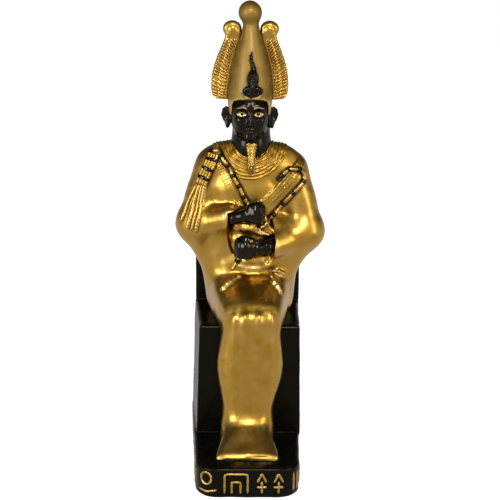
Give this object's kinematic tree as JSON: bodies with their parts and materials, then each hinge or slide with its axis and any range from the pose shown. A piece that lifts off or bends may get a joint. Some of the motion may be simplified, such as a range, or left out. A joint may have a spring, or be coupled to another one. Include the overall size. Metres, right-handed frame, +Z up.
{
  "type": "seated mummiform figurine on a plinth",
  "caption": "Seated, robed ancient figure with tall plumed crown, crook and flail, on a block throne and rounded plinth, cast in one piece as a souvenir.",
  "frame": {"origin": "on the plinth's flat underside, in the middle of the casting's whole width and depth", "axes": "+Z up along the seated figure to the ball on its crown, -Y the way the figure looks, +X towards the figure's left hand"},
  "size_m": [0.0708, 0.0848, 0.22],
  "materials": {
    "painted_resin": "cast filled resin, gold metallic paint on the robe, crown and regalia, gloss black enamel on skin, throne and plinth"
  },
  "bodies": {
    "root": {"osiris_figure": "painted_resin"}
  },
  "joints": []
}
